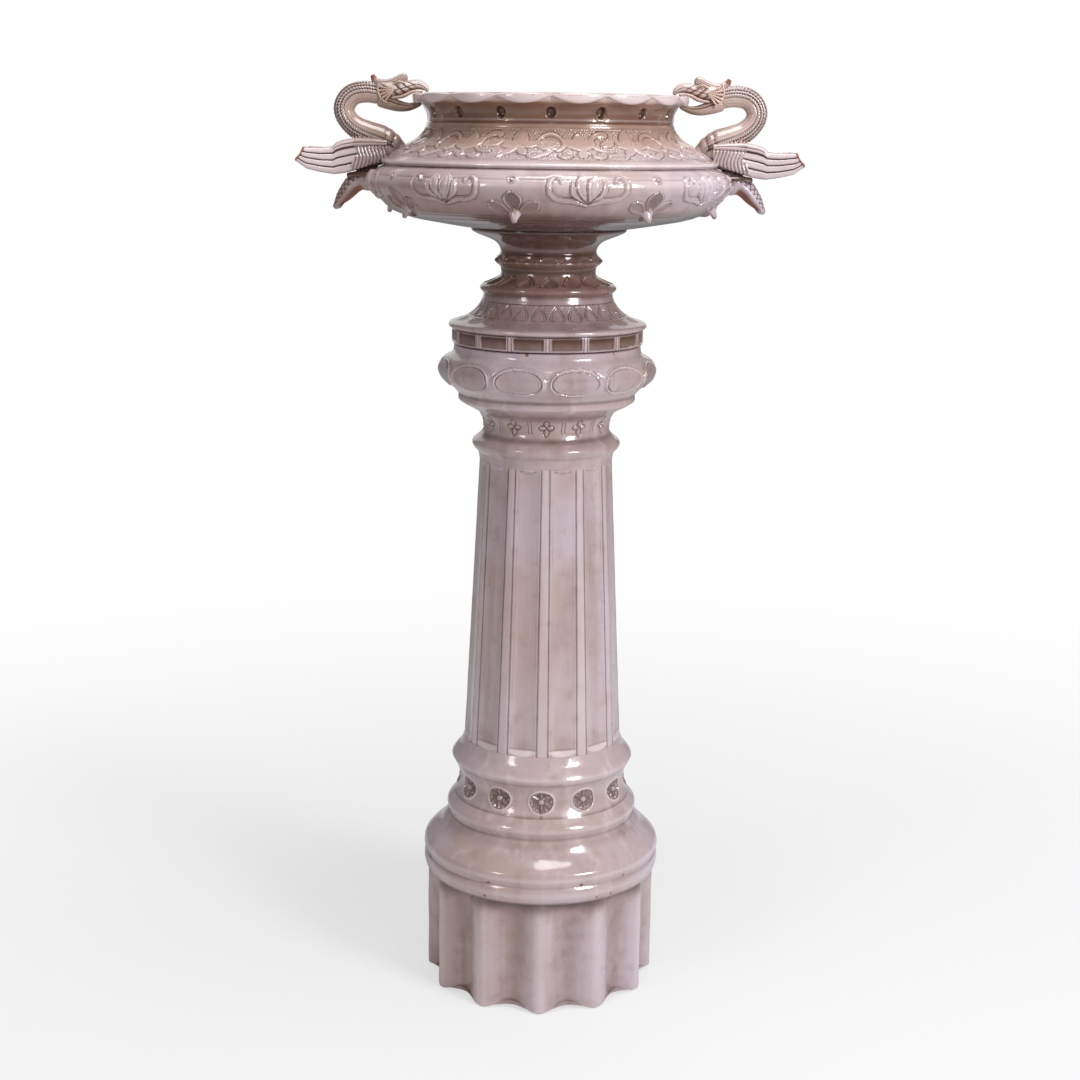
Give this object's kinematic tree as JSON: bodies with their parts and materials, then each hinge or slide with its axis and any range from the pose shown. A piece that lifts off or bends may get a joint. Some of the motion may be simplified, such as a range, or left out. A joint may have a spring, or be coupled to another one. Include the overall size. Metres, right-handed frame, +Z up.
{
  "type": "jardiniere on stand",
  "caption": "Glazed earthenware jardiniere: a wide shallow bowl with two winged-dragon handles on a knopped foot, over a fluted column stand with a moulded base and a fluted plinth.",
  "frame": {"origin": "centre of the plinth's underside, on the floor", "axes": "+Z up along the column's axis; +X to the viewer's right through one dragon handle; +Y away from the viewer"},
  "size_m": [0.7572, 0.554, 1.449],
  "materials": {
    "glaze": "glossy, crackled, pale pinkish grey over red clay"
  },
  "bodies": {
    "stand": {"plinth": "glaze", "column": "glaze"},
    "foot": {"bowl_foot": "glaze"},
    "jardiniere": {"bowl": "glaze", "right_dragon_body": "glaze", "right_dragon_neck": "glaze", "right_dragon_head": "glaze", "right_dragon_crest": "glaze", "right_dragon_front_wing": "glaze", "right_dragon_back_wing": "glaze", "right_dragon_tail": "glaze", "left_dragon_body": "glaze", "left_dragon_neck": "glaze", "left_dragon_head": "glaze", "left_dragon_crest": "glaze", "left_dragon_front_wing": "glaze", "left_dragon_back_wing": "glaze", "left_dragon_tail": "glaze"}
  },
  "joints": [
    {"name": "foot_lift", "type": "slide", "parent": "stand", "child": "foot", "axis": [0, 0, 1], "range_m": [0, 0.25]},
    {"name": "bowl_lift", "type": "slide", "parent": "foot", "child": "jardiniere", "axis": [0, 0, 1], "range_m": [0, 0.25]}
  ]
}
